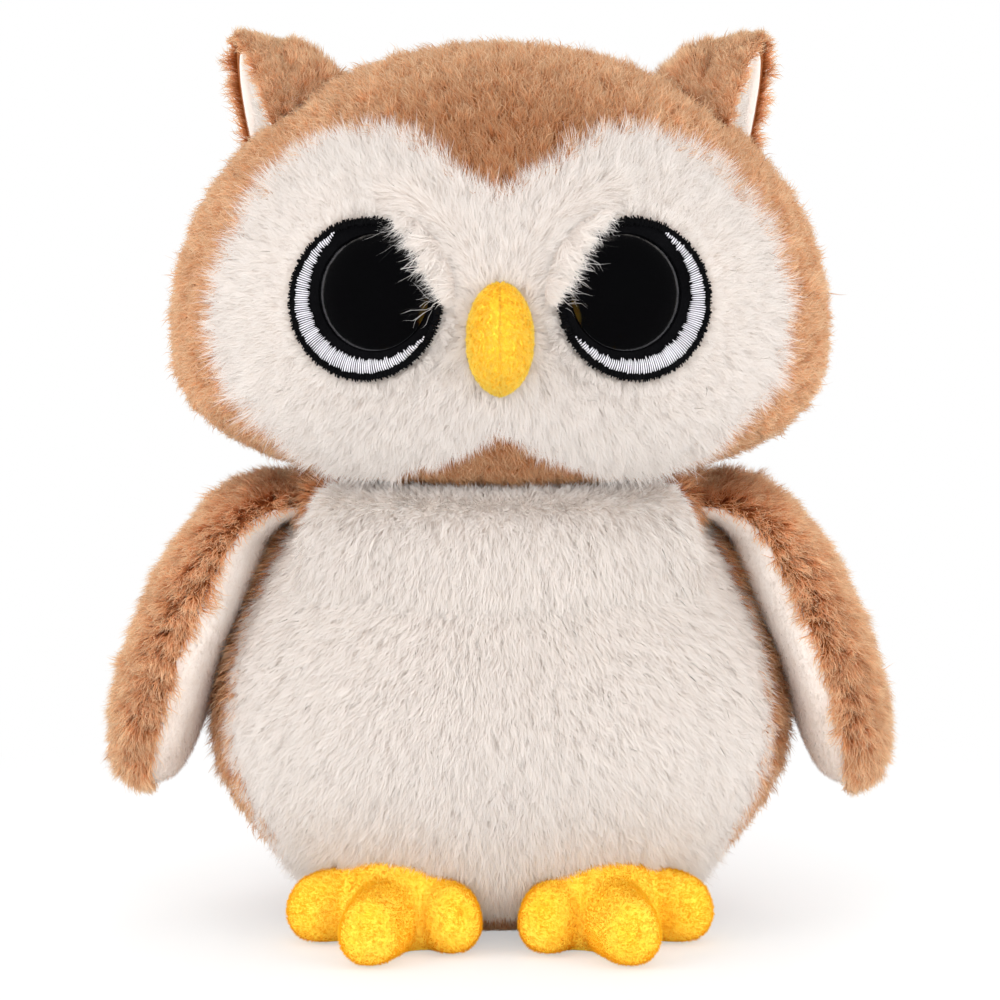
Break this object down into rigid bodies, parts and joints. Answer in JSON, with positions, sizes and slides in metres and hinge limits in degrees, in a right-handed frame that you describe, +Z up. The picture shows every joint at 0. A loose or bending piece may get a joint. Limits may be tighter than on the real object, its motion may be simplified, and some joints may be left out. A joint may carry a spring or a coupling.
{
  "type": "plush owl toy",
  "caption": "Seated plush owl with a brown fur back, white face and belly, glossy eyes, and a head, wings and ears that move.",
  "frame": {"origin": "middle of the flat base panel, on the surface that the toy stands on", "axes": "+Z up, -Y the way that the owl faces, +X towards the owl's own left side"},
  "size_m": [0.2132, 0.1434, 0.2419],
  "materials": {
    "brown_fur": "warm brown faux fur, long soft pile with lighter tips",
    "white_fur": "white faux fur, long soft pile",
    "white_minky": "smooth off-white short-pile plush",
    "yellow_minky": "golden yellow short-pile plush",
    "black_felt": "matte black felt",
    "black_thread": "black satin stitch embroidery",
    "white_thread": "silvery white satin stitch embroidery",
    "black_plastic": "polished black dome",
    "washer_plastic": "plain moulded plastic",
    "fibre_filling": "loose white polyester fibre",
    "pouch_cloth": "plain woven cotton"
  },
  "bodies": {
    "body": {"base_panel": "brown_fur", "belly_panel": "white_fur", "body_left_panel": "brown_fur", "body_right_panel": "brown_fur", "body_stuffing": "fibre_filling", "pellet_pouch": "pouch_cloth", "foot_left_sole": "yellow_minky", "foot_left_upper": "yellow_minky", "foot_left_stuffing": "fibre_filling", "foot_right_sole": "yellow_minky", "foot_right_upper": "yellow_minky", "foot_right_stuffing": "fibre_filling"},
    "neck": {"neck_stuffing": "fibre_filling", "neck_seam": "brown_fur"},
    "head": {"head_left_panel": "brown_fur", "head_right_panel": "brown_fur", "chin_panel": "brown_fur", "face_left_panel": "white_fur", "face_right_panel": "white_fur", "head_stuffing": "fibre_filling", "eye_left_patch": "black_felt", "eye_left_stitch_ring": "black_thread", "eye_left_crescent": "white_thread", "eye_left_pupil": "black_plastic", "eye_left_washer": "washer_plastic", "eye_right_patch": "black_felt", "eye_right_stitch_ring": "black_thread", "eye_right_crescent": "white_thread", "eye_right_pupil": "black_plastic", "eye_right_washer": "washer_plastic", "beak_left_panel": "yellow_minky", "beak_right_panel": "yellow_minky", "beak_stuffing": "fibre_filling"},
    "wing_left": {"wing_left_outer_panel": "brown_fur", "wing_left_lining": "white_minky", "wing_left_stuffing": "fibre_filling"},
    "wing_right": {"wing_right_outer_panel": "brown_fur", "wing_right_lining": "white_minky", "wing_right_stuffing": "fibre_filling"},
    "ear_left": {"ear_left_outer_panel": "brown_fur", "ear_left_lining": "white_minky"},
    "ear_right": {"ear_right_outer_panel": "brown_fur", "ear_right_lining": "white_minky"}
  },
  "joints": [
    {"name": "head_turn", "type": "hinge", "parent": "body", "child": "neck", "pos_m": [0, 0, 0.1175], "axis": [0, 0, 1], "range_deg": [-15, 15], "stiffness_Nm_per_rad": 0.4},
    {"name": "head_nod", "type": "hinge", "parent": "neck", "child": "head", "pos_m": [0, 0, 0.1175], "axis": [1, 0, 0], "range_deg": [-5, 5], "stiffness_Nm_per_rad": 1.5},
    {"name": "wing_left_lift", "type": "hinge", "parent": "body", "child": "wing_left", "pos_m": [0.05584, 0, 0.11501], "axis": [0, -1, 0], "range_deg": [0, 45], "stiffness_Nm_per_rad": 0.02},
    {"name": "wing_right_lift", "type": "hinge", "parent": "body", "child": "wing_right", "pos_m": [-0.05584, 0, 0.11501], "axis": [0, 1, 0], "range_deg": [0, 45], "stiffness_Nm_per_rad": 0.02},
    {"name": "ear_left_fold", "type": "hinge", "parent": "head", "child": "ear_left", "pos_m": [0.04886, 0.002, 0.22694], "axis": [-0.8708, 0, 0.4917], "range_deg": [-12, 12], "stiffness_Nm_per_rad": 0.003},
    {"name": "ear_right_fold", "type": "hinge", "parent": "head", "child": "ear_right", "pos_m": [-0.04886, 0.002, 0.22694], "axis": [0.8708, 0, 0.4917], "range_deg": [-12, 12], "stiffness_Nm_per_rad": 0.003}
  ]
}
